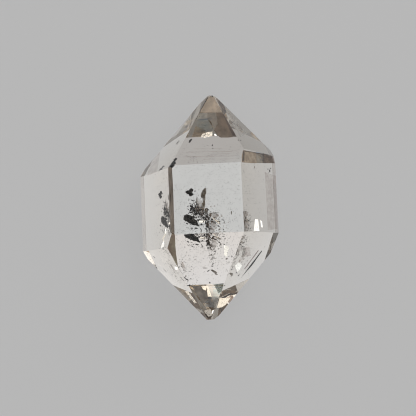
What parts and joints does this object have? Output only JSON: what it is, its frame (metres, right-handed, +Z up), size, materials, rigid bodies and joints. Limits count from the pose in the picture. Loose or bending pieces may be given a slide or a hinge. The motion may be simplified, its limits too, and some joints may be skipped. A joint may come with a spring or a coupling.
{
  "type": "herkimer diamond",
  "caption": "Clear double-ended quartz crystal with a pointed end each way and black specks sealed inside, lying on one of its prism faces.",
  "frame": {"origin": "on the surface the crystal lies on, below the middle of its bounding box", "axes": "+Y along the crystal's long axis towards the point with the steep shoulder face, +Z up out of the broad prism face that lies on top"},
  "size_m": [0.017, 0.0282, 0.0143],
  "materials": {
    "crystal": "clear, polished natural faces with a faint smoky tint"
  },
  "bodies": {
    "root": {"crystal": "crystal"}
  },
  "joints": []
}
